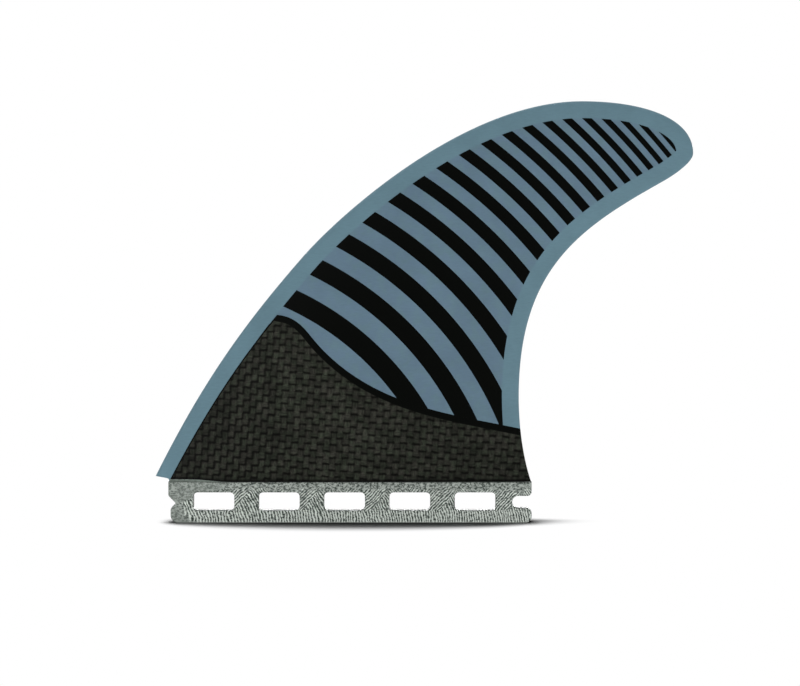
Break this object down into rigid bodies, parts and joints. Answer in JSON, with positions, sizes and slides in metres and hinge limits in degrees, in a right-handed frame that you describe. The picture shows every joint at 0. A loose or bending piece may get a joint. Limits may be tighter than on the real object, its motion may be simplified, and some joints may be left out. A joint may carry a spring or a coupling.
{
  "type": "surfboard fin",
  "caption": "Swept surfboard fin in glass fibre with a carbon ply at its base, foiled on both faces, on a plug-in tab with windows, a screw notch and a pin slot.",
  "frame": {"origin": "middle of the tab's flat foot, which goes down into the fin box", "axes": "+X from the leading edge back to the trailing edge, +Y across the foil, +Z from the tab's foot up to the blade's tip"},
  "size_m": [0.1686, 0.007, 0.1321],
  "materials": {
    "glass_laminate": "blue-grey glass-fibre laminate under a smooth clear resin coat, with thin black bands; bare grey-green glass fibre on the tab",
    "carbon_ply": "woven carbon cloth under a smooth clear resin coat"
  },
  "bodies": {
    "root": {"fin_body": "glass_laminate", "carbon_ply_left": "carbon_ply", "carbon_ply_right": "carbon_ply"}
  },
  "joints": []
}
